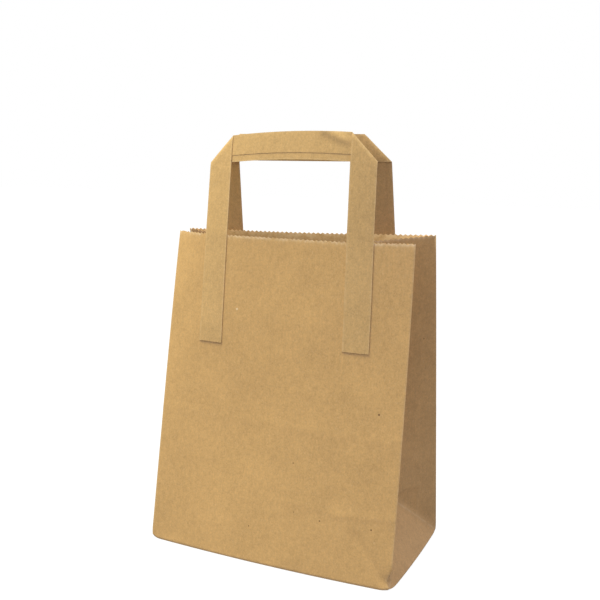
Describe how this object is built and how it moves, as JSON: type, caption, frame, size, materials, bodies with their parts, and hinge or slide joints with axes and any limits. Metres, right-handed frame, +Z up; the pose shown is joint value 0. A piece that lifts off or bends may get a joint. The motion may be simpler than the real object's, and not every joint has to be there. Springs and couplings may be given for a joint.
{
  "type": "paper carrier bag",
  "caption": "Brown kraft paper carrier bag standing open, with folded side gussets, a flat block bottom, a zigzag mouth and flat folded tape handles glued outside.",
  "frame": {"origin": "middle of the bag's underside, on the surface that it stands on", "axes": "+Z up, front panel facing -Y, +X to the right as seen from the front"},
  "size_m": [0.2572, 0.1475, 0.4027],
  "materials": {
    "kraft_sheet": "matt unbleached kraft with a faint fibre mottle",
    "kraft_tape": "matt unbleached kraft, folded tape"
  },
  "bodies": {
    "root": {"bag_body": "kraft_sheet", "front_handle": "kraft_tape", "back_handle": "kraft_tape"}
  },
  "joints": []
}
